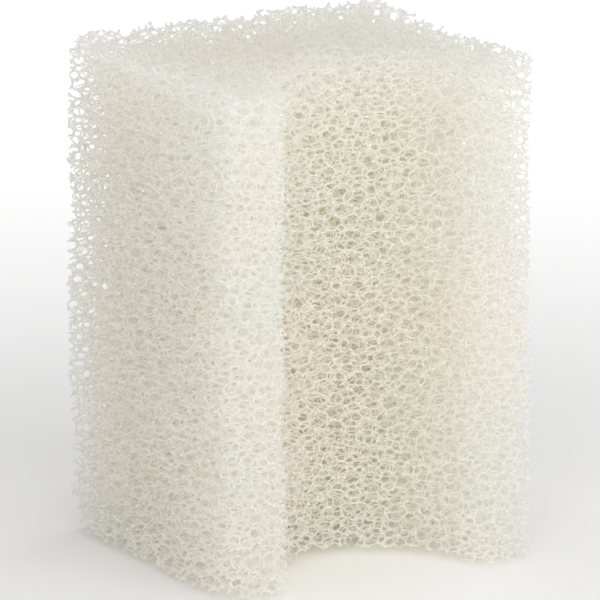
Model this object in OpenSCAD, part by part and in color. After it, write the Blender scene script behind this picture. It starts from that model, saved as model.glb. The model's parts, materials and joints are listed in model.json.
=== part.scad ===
// Filter sponge: one upright block of coarse open-cell foam. A half-round groove runs
// down the middle of its front face and seats round a filter's tube.
// Millimetres. The origin is the centre of the bottom face, +Z is up, and the groove faces -Y.

/* [Block] */
// Width, across the grooved face
block_w = 65; // [60:1:90]
// Depth, from the grooved face to the back
block_d = 62; // [45:1:90]
// Height
block_h = 95; // [50:1:150]

/* [Edges] */
// Radius of the two upright edges at the front
front_edge_r = 4; // [1:0.5:5]
// Radius of the two upright edges at the back
back_edge_r = 2; // [1:0.5:6]

/* [Groove] */
// Radius of the groove, which is that of the tube it seats on
groove_r = 20; // [12:0.5:20]
// Radius that rounds the two lips of the groove
lip_r = 4; // [1:0.5:5]

/* [Hidden] */
$fn = 96;
// How far a cutting tool runs past the face it cuts
past = 1;
front_y = -block_d / 2;
back_y = block_d / 2;
side_x = block_w / 2;
// A lip's arc touches the front face at lip_x. It touches the groove at meet_x, meet_depth
// behind the front face, where the line between the two arcs' centres crosses the groove.
lip_x = sqrt(pow(groove_r + lip_r, 2) - pow(lip_r, 2));
meet_x = lip_x * groove_r / (groove_r + lip_r);
meet_depth = lip_r * groove_r / (groove_r + lip_r);

// What is cut away to round the upright edge at x = corner, y = 0, of a solid that
// lies towards -X and +Y of it
module edge_waste(corner, r) {
    difference() {
        translate([corner - r, -past, -past])
            cube([r + past, r + past, block_h + 2 * past]);
        translate([corner - r, r, -2 * past])
            cylinder(r = r, h = block_h + 4 * past);
    }
}

// What is cut away to round the groove's lip on the +X side, with the front face at y = 0
module lip_waste() {
    difference() {
        translate([meet_x - past, -past, -past])
            cube([lip_x - meet_x + past, meet_depth + past, block_h + 2 * past]);
        translate([lip_x, lip_r, -2 * past])
            cylinder(r = lip_r, h = block_h + 4 * past);
    }
}

// The tube's own space, with its axis on the front face
module groove_waste() {
    translate([0, front_y, -past])
        cylinder(r = groove_r, h = block_h + 2 * past);
}

module foam_block() {
    color("ivory")
        difference() {
            translate([-side_x, front_y, 0])
                cube([block_w, block_d, block_h]);
            groove_waste();
            for (side = [0, 1])
                mirror([side, 0, 0]) {
                    translate([0, front_y, 0]) {
                        lip_waste();
                        edge_waste(side_x, front_edge_r);
                    }
                    translate([0, back_y, 0])
                        mirror([0, 1, 0])
                            edge_waste(side_x, back_edge_r);
                }
        }
}

foam_block();
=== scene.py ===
import itertools
import json
import math

import bpy
import numpy as np
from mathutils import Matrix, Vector


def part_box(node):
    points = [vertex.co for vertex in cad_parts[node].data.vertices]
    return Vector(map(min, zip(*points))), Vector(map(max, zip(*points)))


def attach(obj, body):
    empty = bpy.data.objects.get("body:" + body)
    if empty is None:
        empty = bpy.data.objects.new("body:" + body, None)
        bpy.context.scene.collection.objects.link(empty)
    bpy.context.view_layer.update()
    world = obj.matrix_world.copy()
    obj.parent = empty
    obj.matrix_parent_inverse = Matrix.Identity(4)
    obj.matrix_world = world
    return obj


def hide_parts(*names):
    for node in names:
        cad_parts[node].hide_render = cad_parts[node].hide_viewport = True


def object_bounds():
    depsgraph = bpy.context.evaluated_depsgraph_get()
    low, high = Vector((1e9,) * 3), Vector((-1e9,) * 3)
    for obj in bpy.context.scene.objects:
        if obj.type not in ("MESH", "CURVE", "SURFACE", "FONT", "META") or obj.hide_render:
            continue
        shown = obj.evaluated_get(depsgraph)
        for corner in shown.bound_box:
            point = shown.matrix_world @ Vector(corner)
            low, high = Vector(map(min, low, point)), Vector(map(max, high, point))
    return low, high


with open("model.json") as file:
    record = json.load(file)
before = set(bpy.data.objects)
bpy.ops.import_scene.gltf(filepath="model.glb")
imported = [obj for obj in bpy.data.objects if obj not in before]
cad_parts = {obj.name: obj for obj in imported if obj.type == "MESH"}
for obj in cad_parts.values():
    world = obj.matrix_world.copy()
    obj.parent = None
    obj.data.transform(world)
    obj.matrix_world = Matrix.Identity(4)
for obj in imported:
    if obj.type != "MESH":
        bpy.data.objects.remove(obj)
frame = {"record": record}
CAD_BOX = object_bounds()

MM = 0.001
BLOCK_LOW, BLOCK_HIGH = (np.array(corner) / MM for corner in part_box("foam_block"))
TUBE_MOUNT = next(m for m in frame["record"]["mounts"] if m["name"] == "tube_groove")
GROOVE_R = TUBE_MOUNT["dims"]["r_mm"]
LIP_R = 4.0
FRONT_EDGE_R = 4.0
BACK_EDGE_R = 2.0

# Coarse foam, with cells of this mean width. A cell is wider than it is tall, because the
# bun is cut with its rise lying across the block.
CELL = 3.4
CELL_STRETCH = np.array([1.25, 0.9, 0.92])
SPACING = (math.pi / 6) ** (1 / 3) * CELL
MARGIN = 2.2 * CELL
SEED = 7
# Packing, with gaps in spacings: the steps taken, how many others push each bubble and from
# how far, the gap each pair wants, and the share of the push that a bubble gives way to
PACKING_STEPS = 14
PUSHERS = 16
PUSH_WITHIN = 1.8
WANTED_GAP = 1.12
GIVE = 0.22
# The bubbles that may meet one: this many of the nearest, with centres at most this far apart
# and a joint at most this far from them, in spacings
NEIGHBOURS = 28
NEIGHBOURS_WITHIN = 1.9
MEET_WITHIN = 2.05
JOINT_WITHIN = 1.3
TRIPLES = np.array(list(itertools.combinations(range(NEIGHBOURS), 3)))
SETTLING_ROUNDS = 6
# How many points are searched at once, which only keeps the arrays small
SEARCHED_AT_ONCE = 6000
MET_AT_ONCE = 400
# A strut is three-sided, thin in the middle and wide where it runs into a joint.
JOINT_R = 0.265
STRUT_R = 0.135
# A joint is at most this share of its shortest strut.
JOINT_SHARE = 0.55
# The thinnest and thickest struts, as shares of the usual
STRUT_SPREAD = (0.8, 1.2)
# How far a strut bows, as a share of its length
STRUT_BOW = 0.08
# Struts whose both ends are deeper than this don't show their waist, and have none.
WAIST_DEPTH = 2.2
# The cutter presses the foam together along the block's outer edges, so struts there look
# thicker by this share, fading over this distance.
EDGE_SWELL = 0.6
EDGE_FADE = 3.0
# The outermost struts stand this far proud of the pressed-in shape.
PROUD = 0.35
# The lowest corner at the back left has worn round, this far along each of its edges.
WORN_CORNER = 8.0
# How far the wire wanders, and how unevenly a strut tears at the cut
WANDER = 0.25
WAVES = 6
WAVE_LENGTHS = (14, 40)
TEAR = 0.15
# A torn stub's least length in joint radii, its greatest as a share of the strut, and its lean
STUB_LEAST = 1.1
STUB_MOST = 0.92
STUB_LEAN = 0.05
# The lowest struts end this far above the floor, and their tips reach down to it.
FOOT = 1.0
# The net is one piece. Its mesh is kept in layers so that no one file is too large.
LAYERS = 12
# The share of the light that goes straight through a strut's skin, and how far the rest runs
# inside the struts for red, green and blue
SEEN_THROUGH = 0.6
RUN_INSIDE = [2.5, 2.25, 1.75]

# Each node has four cells 0 1 2 3. Three cells meet along a strut, two at a film.
TRIOS = np.array([(0, 1, 2), (0, 1, 3), (0, 2, 3), (1, 2, 3)])
FOURTH = np.array([3, 2, 1, 0])
# The two struts at the edges of each film 01 02 03 12 13 23, and the two that face it
FILM_STRUTS = np.array([(0, 1), (0, 2), (1, 2), (0, 3), (1, 3), (2, 3)])
FAR_STRUTS = FILM_STRUTS[::-1]
# The three films round each strut, and the three round each cell with the way they turn
STRUT_FILMS = np.array([(0, 3, 1), (0, 4, 2), (1, 5, 2), (3, 5, 4)])
CELL_FILMS = np.array([(0, 1, 2), (0, 3, 4), (1, 3, 5), (2, 4, 5)])
CELL_TURNS = np.array([-1, 1, -1, 1])


def unit(vectors):
    """Each vector divided by its length."""
    return vectors / np.maximum(np.linalg.norm(vectors, axis=-1, keepdims=True), 1e-12)


def nearest(points, count, bin_size):
    """Each point's nearest others, nearest first. Points are sorted into cubic bins, and only
    the 27 bins round a point's own are searched."""
    place = np.floor((points - points.min(0)) / bin_size).astype(np.int64) + 1
    shape = place.max(0) + 2
    bin_of = np.ravel_multi_index(place.T, shape)
    order = np.argsort(bin_of, kind="stable")
    start = np.searchsorted(bin_of[order], np.arange(shape.prod()))
    rank = np.arange(len(points)) - start[bin_of[order]]
    members = np.full((shape.prod(), rank.max() + 1), -1)
    members[bin_of[order], rank] = order
    steps = np.array([shape[1] * shape[2], shape[2], 1])
    around = np.array(list(itertools.product((-1, 0, 1), repeat=3))) @ steps
    found = []
    for part in np.array_split(np.arange(len(points)), 1 + len(points) // SEARCHED_AT_ONCE):
        near = members[bin_of[part, None] + around].reshape(len(part), -1)
        gap = ((points[near] - points[part, None]) ** 2).sum(2)
        gap[(near < 0) | (near == part[:, None])] = np.inf
        pick = np.argpartition(gap, count, axis=1)[:, :count]
        rows = np.arange(len(part))[:, None]
        pick = pick[rows, np.argsort(gap[rows, pick], axis=1)]
        found.append(near[rows, pick])
    return np.concatenate(found)


def packed_bubbles(low, high, rng):
    """Bubble centres: points thrown at random into the box, then moved apart in small steps,
    each by a share of how much closer than one spacing its neighbours are."""
    centres = rng.uniform(low, high, (int(np.prod(high - low) / SPACING**3), 3))
    for step in range(PACKING_STEPS):
        if step % 2 == 0:
            others = nearest(centres, PUSHERS, PUSH_WITHIN * SPACING)
        apart = centres[:, None] - centres[others]
        gap = np.maximum(np.linalg.norm(apart, axis=2, keepdims=True), 1e-9)
        push = np.clip(WANTED_GAP * SPACING - gap, 0, None) / gap
        centres = np.clip(centres + GIVE * (apart * push).sum(1), low, high)
    return centres


def meeting_fours(centres):
    """The fours of bubbles that meet at a joint, and the joint's place: the point that is as far
    from all four centres, where no fifth centre is nearer."""
    others = nearest(centres, NEIGHBOURS, NEIGHBOURS_WITHIN * SPACING)
    fours, meets = [], []
    for part in np.array_split(np.arange(len(centres)), 1 + len(centres) // MET_AT_ONCE):
        near = others[part]
        away = centres[near] - centres[part, None]
        later = near > part[:, None]
        reach = (away * away).sum(2)
        between = reach[:, :, None] + reach[:, None] - 2 * away @ away.transpose(0, 2, 1)
        beside = (between < (MEET_WITHIN * SPACING) ** 2) & later[:, :, None] & later[:, None]
        j, k, l = TRIPLES.T
        row, trio = np.nonzero(beside[:, j, k] & beside[:, k, l] & beside[:, j, l])
        pick = TRIPLES[trio]
        u, v, w = (away[row, pick[:, side]] for side in range(3))
        uu, vv, ww = ((side * side).sum(1)[:, None] for side in (u, v, w))
        vw = np.cross(v, w)
        with np.errstate(all="ignore"):
            meet = uu * vw + vv * np.cross(w, u) + ww * np.cross(u, v)
            meet = meet / (2 * (u * vw).sum(1))[:, None]
        radius = (meet * meet).sum(1)
        keep = radius < (JOINT_WITHIN * SPACING) ** 2
        row, pick, meet, radius = row[keep], pick[keep], meet[keep], radius[keep]
        gap = ((away[row] - meet[:, None]) ** 2).sum(2)
        keep = (gap > radius[:, None] * (1 - 1e-9)).all(1)
        row, pick, meet = row[keep], pick[keep], meet[keep]
        fours.append(np.column_stack([part[row], near[row[:, None], pick]]))
        meets.append(meet + centres[part[row]])
    return np.sort(np.concatenate(fours), axis=1), np.concatenate(meets)


def above_trio(centres, fours, ends):
    """Whether the fourth bubble at a strut's end lies above the plane of the strut's three."""
    a, b, c = (centres[fours[ends // 4, TRIOS[ends % 4, side]]] for side in range(3))
    fourth = centres[fours[ends // 4, FOURTH[ends % 4]]]
    return (np.cross(b - a, c - a) * (fourth - a)).sum(1) > 0


def struts_between(fours, centres):
    """Each strut's low end and high end. Two joints that share three bubbles are joined by the
    strut that runs between those three. An end is numbered joint times four plus trio."""
    trios = fours[:, TRIOS].reshape(-1, 3)
    name = (trios[:, 0] * len(centres) + trios[:, 1]) * len(centres) + trios[:, 2]
    order = np.argsort(name, kind="stable")
    same = name[order][1:] == name[order][:-1]
    alone = same.copy()
    alone[1:] &= ~same[:-1]
    alone[:-1] &= ~same[1:]
    at = np.nonzero(alone)[0]
    first, second = order[at], order[at + 1]
    first_high = above_trio(centres, fours, first)
    good = first_high != above_trio(centres, fours, second)
    first, second, first_high = first[good], second[good], first_high[good]
    return np.where(first_high, second, first), np.where(first_high, first, second)


def settled(nodes, beside):
    """The joints after surface tension has evened the struts out: each joint that has all its
    four struts moves halfway to the mean of the joints they lead to, round after round."""
    whole = (beside >= 0).all(1)
    linked = np.maximum(beside, 0) // 4
    for _ in range(SETTLING_ROUNDS):
        mean = nodes[linked].mean(1)
        nodes = np.where(whole[:, None], (nodes + mean) / 2, nodes)
    return nodes


def depth_inside(points):
    """How far inside the block's cut faces each point is: the least of its distances to the
    flat faces, to the rounded upright edges, to the groove's round wall, to the round of the
    groove's lip and to the slope of the worn corner."""
    across = np.abs(points[:, 0] - (BLOCK_LOW[0] + BLOCK_HIGH[0]) / 2)
    side = BLOCK_HIGH[0] + PROUD - across
    front = points[:, 1] - BLOCK_LOW[1] + PROUD
    back = BLOCK_HIGH[1] + PROUD - points[:, 1]
    depth = np.minimum(side, np.minimum(front, back))
    for face, edge_r in ((front, FRONT_EDGE_R), (back, BACK_EDGE_R)):
        rounded = edge_r - np.hypot(edge_r - side, edge_r - face)
        depth = np.where((side < edge_r) & (face < edge_r), rounded, depth)
    groove_r, lip_r = GROOVE_R - PROUD, LIP_R + PROUD
    lip_x = math.sqrt((groove_r + lip_r) ** 2 - lip_r**2)
    in_lip = (across < lip_x) & (across * lip_r > front * lip_x) & (front < lip_r)
    lip = lip_r - np.hypot(across - lip_x, front - lip_r)
    groove = np.hypot(across, front) - groove_r
    depth = np.minimum(depth, np.where(in_lip, lip, groove))
    top = BLOCK_HIGH[2] + PROUD - points[:, 2]
    height = points[:, 2] - BLOCK_LOW[2]
    left = points[:, 0] - BLOCK_LOW[0] + PROUD
    worn = (left + back + height - WORN_CORNER) / math.sqrt(3)
    return np.minimum(np.minimum(depth, worn), np.minimum(top, height - FOOT))


def edge_swell(points):
    """How many times thicker than usual a strut is at each point: 1 + EDGE_SWELL exp(-d /
    EDGE_FADE), where d is the second least of the distances to the block's six flat faces."""
    gaps = np.concatenate([points - BLOCK_LOW, BLOCK_HIGH - points], axis=1)
    to_edge = np.maximum(np.sort(gaps, axis=1)[:, 1], 0)
    return 1 + EDGE_SWELL * np.exp(-to_edge / EDGE_FADE)


def wire_wander(points, rng):
    """How far the cutting wire strays at each point: the sum of sine waves of random lengths
    in random directions, scaled so that its usual size is WANDER."""
    stray = np.zeros(len(points))
    for _ in range(WAVES):
        turns = points @ unit(rng.normal(size=3)) / rng.uniform(*WAVE_LENGTHS)
        stray += np.sin(2 * math.pi * (turns + rng.uniform()))
    return WANDER * stray * 1.4 / math.sqrt(WAVES)


def in_one_net(kept, first, second):
    """The kept joints that belong to the largest connected net. Each joint takes the lowest
    number among those it is joined to, until no number changes."""
    label = np.arange(len(kept))
    while True:
        lowest = np.minimum(label[first], label[second])
        new = label.copy()
        np.minimum.at(new, first, lowest)
        np.minimum.at(new, second, lowest)
        new = new[new]
        if (new == label).all():
            return kept & (label == np.bincount(label[kept]).argmax())
        label = new


def tube(ring_a, ring_b):
    """The six triangles between two three-cornered rings."""
    sides = []
    for k in range(3):
        n = (k + 1) % 3
        sides.append(np.stack([ring_a[:, k], ring_a[:, n], ring_b[:, n]], 1))
        sides.append(np.stack([ring_a[:, k], ring_b[:, n], ring_b[:, k]], 1))
    return np.concatenate(sides)


def flattened(rings, axis):
    """The directions from a ring's centre to its corners, square to the strut's axis."""
    out = rings - rings.mean(1, keepdims=True)
    return unit(out - (out * axis[:, None]).sum(2, keepdims=True) * axis[:, None])


def foam_net(rng):
    """The corners and triangles of the whole net, and the layer of each triangle.

    A joint has six corners, one on the film between each two of its four cells. The corner's
    direction is the sum of the two struts at the film's edges less the sum of the other two. A
    strut is a tube from three corners of one joint to three of the next, through a narrower
    ring at its bowed middle. At the cut a strut stops in a flat end."""
    low = (BLOCK_LOW - MARGIN) / CELL_STRETCH
    high = (BLOCK_HIGH + MARGIN) / CELL_STRETCH
    centres = packed_bubbles(low, high, rng)
    fours, nodes = meeting_fours(centres)
    low_end, high_end = struts_between(fours, centres)
    beside = np.full(len(fours) * 4, -1)
    beside[low_end], beside[high_end] = high_end, low_end
    beside = beside.reshape(-1, 4)
    nodes = settled(nodes, beside) * CELL_STRETCH
    centres = centres * CELL_STRETCH
    depth = depth_inside(nodes) + wire_wander(nodes, rng)

    low_node, high_node = low_end // 4, high_end // 4
    kept = depth > 0
    both = kept[low_node] & kept[high_node]
    kept = in_one_net(kept, low_node[both], high_node[both])
    pick = np.nonzero(kept)[0]
    number = np.full(len(nodes), -1)
    number[pick] = np.arange(len(pick))
    band = np.quantile(nodes[pick, 2], np.linspace(0, 1, LAYERS + 1)[1:-1])
    layer = np.searchsorted(band, nodes[:, 2])

    along = np.zeros((len(nodes) * 4, 3))
    along[low_end] = unit(nodes[high_node] - nodes[low_node])
    along[high_end] = -along[low_end]
    along = along.reshape(-1, 4, 3)[pick]
    length = np.linalg.norm(nodes[high_node] - nodes[low_node], axis=1)
    shortest = np.full(len(nodes), CELL)
    np.minimum.at(shortest, low_node, length)
    np.minimum.at(shortest, high_node, length)
    joint_r = np.minimum(JOINT_R * edge_swell(nodes[pick]), JOINT_SHARE * shortest[pick])
    toward = unit(along[:, FILM_STRUTS].sum(2) - along[:, FAR_STRUTS].sum(2))
    joints = nodes[pick, None] + joint_r[:, None, None] * toward
    corners = [joints.reshape(-1, 3)]
    triangles, layers = [], []

    def add_corners(rings):
        """Adds rings of three corners, and gives their numbers."""
        start = sum(len(part) for part in corners)
        corners.append(rings.reshape(-1, 3))
        return start + np.arange(len(rings) * 3).reshape(-1, 3)

    def add(faces, face_layer):
        """Adds triangles, in one or more runs as long as face_layer."""
        triangles.append(faces)
        layers.append(np.tile(face_layer, len(faces) // max(len(face_layer), 1)))

    def ring_at(ends):
        """The numbers of the three corners round a strut's end."""
        return number[ends // 4][:, None] * 6 + STRUT_FILMS[ends % 4]

    # Whole struts
    whole = kept[low_node] & kept[high_node]
    start_end, stop_end = low_end[whole], high_end[whole]
    start, stop = ring_at(start_end), ring_at(stop_end)
    start_layer, stop_layer = layer[start_end // 4], layer[stop_end // 4]
    ring_a, ring_b = corners[0][start], corners[0][stop]
    middle = (ring_a.mean(1) + ring_b.mean(1)) / 2
    axis = ring_b.mean(1) - ring_a.mean(1)
    bow = rng.normal(size=middle.shape)
    bow -= (bow * unit(axis)).sum(1, keepdims=True) * unit(axis)
    middle += STRUT_BOW * np.linalg.norm(axis, axis=1, keepdims=True) * bow
    thick = STRUT_R * edge_swell(middle) * rng.uniform(*STRUT_SPREAD, len(middle))
    waist = middle[:, None] + thick[:, None, None] * flattened(ring_a + ring_b, unit(axis))
    shallow = np.minimum(depth[start_end // 4], depth[stop_end // 4]) < WAIST_DEPTH
    split = start_layer != stop_layer
    waisted = shallow | split
    waist_ring = np.full((len(waist), 3), -1)
    waist_ring[waisted] = add_corners(waist[waisted])
    add(tube(start[waisted], waist_ring[waisted]), start_layer[waisted])
    add(tube(waist_ring[waisted], stop[waisted]), stop_layer[waisted])
    add(tube(start[~waisted], stop[~waisted]), start_layer[~waisted])
    add(waist_ring[split], start_layer[split])
    add(waist_ring[split][:, ::-1], stop_layer[split])

    # Struts that the wire has cut, each rooted at its kept end
    cut_high = kept[low_node] & ~kept[high_node]
    cut_low = kept[high_node] & ~kept[low_node]
    root = np.concatenate([low_end[cut_high], high_end[cut_low]])
    lost = np.concatenate([high_end[cut_high], low_end[cut_low]]) // 4
    upward = np.repeat([True, False], [cut_high.sum(), cut_low.sum()])
    root_node = root // 4
    span = nodes[lost] - nodes[root_node]
    full = np.linalg.norm(span, axis=1)
    share = depth[root_node] / np.maximum(depth[root_node] - depth[lost], 1e-9)
    reach = share * full + rng.uniform(-TEAR, TEAR, len(full))
    least = STUB_LEAST * joint_r[number[root_node]]
    reach = np.clip(reach, least, np.maximum(STUB_MOST * full, STUB_LEAST * least))
    lean = STUB_LEAN * rng.normal(size=span.shape)
    tip = nodes[root_node] + reach[:, None] * (unit(span) + lean)
    base = ring_at(root)
    thick = STRUT_R * edge_swell(tip)[:, None, None]
    ends = add_corners(tip[:, None] + thick * flattened(corners[0][base], unit(span)))
    root_layer = layer[root_node]
    add(tube(base[upward], ends[upward]), root_layer[upward])
    add(tube(ends[~upward], base[~upward]), root_layer[~upward])
    add(ends[upward], root_layer[upward])
    add(ends[~upward][:, ::-1], root_layer[~upward])

    # The joints' own faces, one towards each cell, and one over any strut that is missing
    a, b, c, d = (centres[fours[pick, side]] for side in range(4))
    turn = np.sign((np.cross(b - a, c - a) * (d - a)).sum(1))
    first = np.arange(len(pick))[:, None] * 6
    for slot in range(4):
        face = first + CELL_FILMS[slot]
        inward = turn * CELL_TURNS[slot] < 0
        face[inward] = face[inward][:, ::-1]
        add(face, layer[pick])
        missing = beside[pick, slot] < 0
        face = (first + STRUT_FILMS[slot])[missing]
        high_side = above_trio(centres, fours, pick[missing] * 4 + slot)
        face[high_side] = face[high_side][:, ::-1]
        add(face, layer[pick[missing]])
    corners = np.concatenate(corners)
    corners[:, 2] = np.maximum(corners[:, 2], BLOCK_LOW[2])
    return corners, np.concatenate(triangles), np.concatenate(layers)


def mesh_object(name, corners, triangles, material):
    """A flat-shaded piece from corners in millimetres and triangles."""
    used, triangles = np.unique(triangles, return_inverse=True)
    triangles = triangles.reshape(-1, 3).astype(np.int32)
    mesh = bpy.data.meshes.new(name)
    mesh.vertices.add(len(used))
    mesh.vertices.foreach_set("co", (corners[used] * MM).astype(np.float32).ravel())
    mesh.loops.add(triangles.size)
    mesh.loops.foreach_set("vertex_index", triangles.ravel())
    mesh.polygons.add(len(triangles))
    mesh.polygons.foreach_set("loop_start", np.arange(0, triangles.size, 3, dtype=np.int32))
    mesh.update(calc_edges=True)
    mesh.shade_flat()
    mesh.materials.append(material)
    piece = bpy.data.objects.new(name, mesh)
    bpy.context.scene.collection.objects.link(piece)
    return piece


def linear(hex_colour):
    """An sRGB hex colour as linear red, green, blue and a full alpha."""
    parts = [int(hex_colour[i : i + 2], 16) / 255 for i in (1, 3, 5)]
    return [p / 12.92 if p <= 0.04045 else ((p + 0.055) / 1.055) ** 2.4 for p in parts] + [1]


def add_node(tree, kind, settings=None, links=None, **inputs):
    """Adds a node, with its settings, its inputs by name, and the sockets linked to it."""
    node = tree.nodes.new(kind)
    for name, value in (settings or {}).items():
        setattr(node, name, value)
    for name, value in inputs.items():
        node.inputs[name.replace("_", " ")].default_value = value
    for name, socket in (links or {}).items():
        tree.links.new(socket, node.inputs[name])
    return node


def empty_material(name):
    """A node material with nothing in it yet."""
    material = bpy.data.materials.new(name)
    material.use_nodes = True
    material.node_tree.nodes.clear()
    return material


# Patches of tint and runs of resin in millimetres, the tint ramp's ends, and the roughness
# where the resin is thin and where it is thick
PATCH = 30
RESIN_RUN = 2
TINTS = [(0.35, "#FFFEFC"), (0.65, "#FEFEFC")]
ROUGHNESS = (0.35, 0.6)


def reticulated_foam():
    """Polyether polyurethane foam whose films have been burst: off-white struts with a soft
    waxy gloss. Struts this thin let most of the light through, so cells behind them stay
    bright, and the more struts the light has met the yellower it is."""
    material = empty_material("reticulated_polyurethane_foam")
    tree = material.node_tree
    place = add_node(tree, "ShaderNodeTexCoord").outputs["Object"]
    # Foam yellows in soft patches.
    patch = add_node(
        tree, "ShaderNodeTexNoise", links={"Vector": place}, Scale=1 / (PATCH * MM), Detail=2
    )
    # Resin gathers unevenly along the struts, in short runs.
    resin = add_node(
        tree, "ShaderNodeTexNoise", links={"Vector": place}, Scale=1 / (RESIN_RUN * MM), Detail=3
    )
    tint = add_node(tree, "ShaderNodeValToRGB", links={"Fac": patch.outputs["Fac"]})
    for stop, (position, colour) in zip(tint.color_ramp.elements, TINTS):
        stop.position = position
        stop.color = linear(colour)
    gloss = add_node(
        tree, "ShaderNodeMapRange", links={"Value": resin.outputs["Fac"]},
        To_Min=ROUGHNESS[0], To_Max=ROUGHNESS[1]
    )
    strut = add_node(
        tree,
        "ShaderNodeBsdfPrincipled",
        links={"Base Color": tint.outputs["Color"], "Roughness": gloss.outputs["Result"]},
        IOR=1.5,
        Specular_IOR_Level=0.4,
        Subsurface_Weight=1.0,
        Subsurface_Scale=MM,
        Subsurface_Radius=RUN_INSIDE,
    )
    glow_through = add_node(
        tree, "ShaderNodeBsdfTranslucent", links={"Color": tint.outputs["Color"]}
    )
    both = add_node(tree, "ShaderNodeMixShader", Fac=SEEN_THROUGH)
    tree.links.new(strut.outputs[0], both.inputs[1])
    tree.links.new(glow_through.outputs[0], both.inputs[2])
    add_node(tree, "ShaderNodeOutputMaterial", links={"Surface": both.outputs[0]})
    return material


def make_foam():
    """The foam, in layers that together are the one block."""
    corners, triangles, layers = foam_net(np.random.default_rng(SEED))
    material = reticulated_foam()
    for k in range(LAYERS):
        piece = mesh_object(f"foam_layer_{k + 1:02d}", corners, triangles[layers == k], material)
        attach(piece, "root")
        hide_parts("foam_block")


# The table's half width, and the painted glow in its surface, which grows from nothing at the
# first distance from the block to full at the second. The floor left unlit near the block is
# painted shade standing in for the block's soft shadow; the glow further out is painted light.
TABLE_REACH_M = 3.0
GLOW = 0.34
GLOW_FROM_M = 0.04
GLOW_TO_M = 0.4


def make_floor():
    """A plain table of opal acrylic whose surface glows as painted light: none near the block,
    where the darker floor is painted shade, rising to full further out.
    """
    material = empty_material("table_with_painted_glow_and_shade")
    tree = material.node_tree
    place = add_node(tree, "ShaderNodeTexCoord").outputs["Object"]
    away = add_node(
        tree, "ShaderNodeVectorMath", {"operation": "LENGTH"}, {"Vector": place}
    )
    # Painted glow: nothing near the block, as painted shade round its foot, and full further
    # out, as painted light.
    glow = add_node(
        tree, "ShaderNodeMapRange", {"interpolation_type": "SMOOTHSTEP"},
        {"Value": away.outputs["Value"]},
        From_Min=GLOW_FROM_M, From_Max=GLOW_TO_M, To_Min=0.0, To_Max=GLOW
    )
    paint = add_node(
        tree, "ShaderNodeBsdfPrincipled", links={"Emission Strength": glow.outputs["Result"]},
        Base_Color=linear("#F8F8F8"), Roughness=0.9, Specular_IOR_Level=0.0,
        Emission_Color=linear("#FFFFFF")
    )
    add_node(tree, "ShaderNodeOutputMaterial", links={"Surface": paint.outputs[0]})
    mesh = bpy.data.meshes.new("table")
    reach, height = TABLE_REACH_M, BLOCK_LOW[2] * MM
    mesh.from_pydata(
        [(-reach, -reach, height), (reach, -reach, height), (reach, reach, height),
         (-reach, reach, height)], [], [(0, 1, 2, 3)]
    )
    mesh.materials.append(material)
    floor = bpy.data.objects.new("table", mesh)
    bpy.context.scene.collection.objects.link(floor)


def direction(azimuth, elevation):
    """The unit vector at an azimuth, from the front towards +X, and an elevation, in degrees."""
    turn, rise = math.radians(azimuth), math.radians(elevation)
    return Vector(
        (math.sin(turn) * math.cos(rise), -math.cos(turn) * math.cos(rise), math.sin(rise))
    )


# The light that comes from all round, and the softboxes by azimuth, elevation and watts: one
# overhead, two in front and one on each side
AMBIENT = 0.36
SOFTBOXES = [(0, 90, 9), (-30, 25, 10.5), (15, 25, 9.5), (105, 40, 4.5), (-75, 30, 1.5)]
SOFTBOX_M = 1.2
SOFTBOX_REACH_M = 2.0
LIGHT_BOUNCES = 64
MIDDLE_M = Vector([(low + high) / 2 for low, high in zip(*CAD_BOX)])


def aim(thing, at):
    """Turns a light or the camera so that it looks at a point."""
    thing.rotation_euler = (at - thing.location).to_track_quat("-Z", "Y").to_euler()


def light_scene():
    """Even light from softboxes all round, a little stronger from the front and right."""
    scene = bpy.context.scene
    scene.world = bpy.data.worlds.new("studio")
    scene.world.use_nodes = True
    scene.world.node_tree.nodes["Background"].inputs["Color"].default_value = linear("#FFFFFF")
    scene.world.node_tree.nodes["Background"].inputs["Strength"].default_value = AMBIENT
    for k, (azimuth, elevation, watts) in enumerate(SOFTBOXES):
        lamp = bpy.data.lights.new(f"softbox_{k + 1}", "AREA")
        lamp.size = SOFTBOX_M
        lamp.energy = watts
        box = bpy.data.objects.new(lamp.name, lamp)
        box.location = MIDDLE_M + SOFTBOX_REACH_M * direction(azimuth, elevation)
        aim(box, MIDDLE_M)
        scene.collection.objects.link(box)
    scene.view_settings.view_transform = "Standard"
    # White foam hands light on from strut to strut many times before it goes dark.
    for limit in ("max", "diffuse", "glossy", "transmission"):
        setattr(scene.cycles, limit + "_bounces", LIGHT_BOUNCES)


# The camera's azimuth and elevation, its distance, its lens and film, and how far it slides
# sideways and up from looking straight at the block's middle
CAMERA_AZIMUTH = -29.59
CAMERA_ELEVATION = 13.83
CAMERA_REACH_M = 1.9
LENS = 612
FILM = 36
CAMERA_SLIDE_M = (-0.0001, -0.00035, 0)
CLIP_M = (0.1, 20)


def place_camera():
    """A long lens from the front left, a little above the block."""
    camera = bpy.data.cameras.new("camera")
    eye = bpy.data.objects.new("camera", camera)
    bpy.context.scene.collection.objects.link(eye)
    eye.location = MIDDLE_M + CAMERA_REACH_M * direction(CAMERA_AZIMUTH, CAMERA_ELEVATION)
    aim(eye, MIDDLE_M)
    camera.sensor_width = FILM
    camera.lens = LENS
    camera.clip_start, camera.clip_end = CLIP_M
    eye.location += eye.rotation_euler.to_matrix() @ Vector(CAMERA_SLIDE_M)
    bpy.context.scene.camera = eye


make_foam()
make_floor()
light_scene()
place_camera()
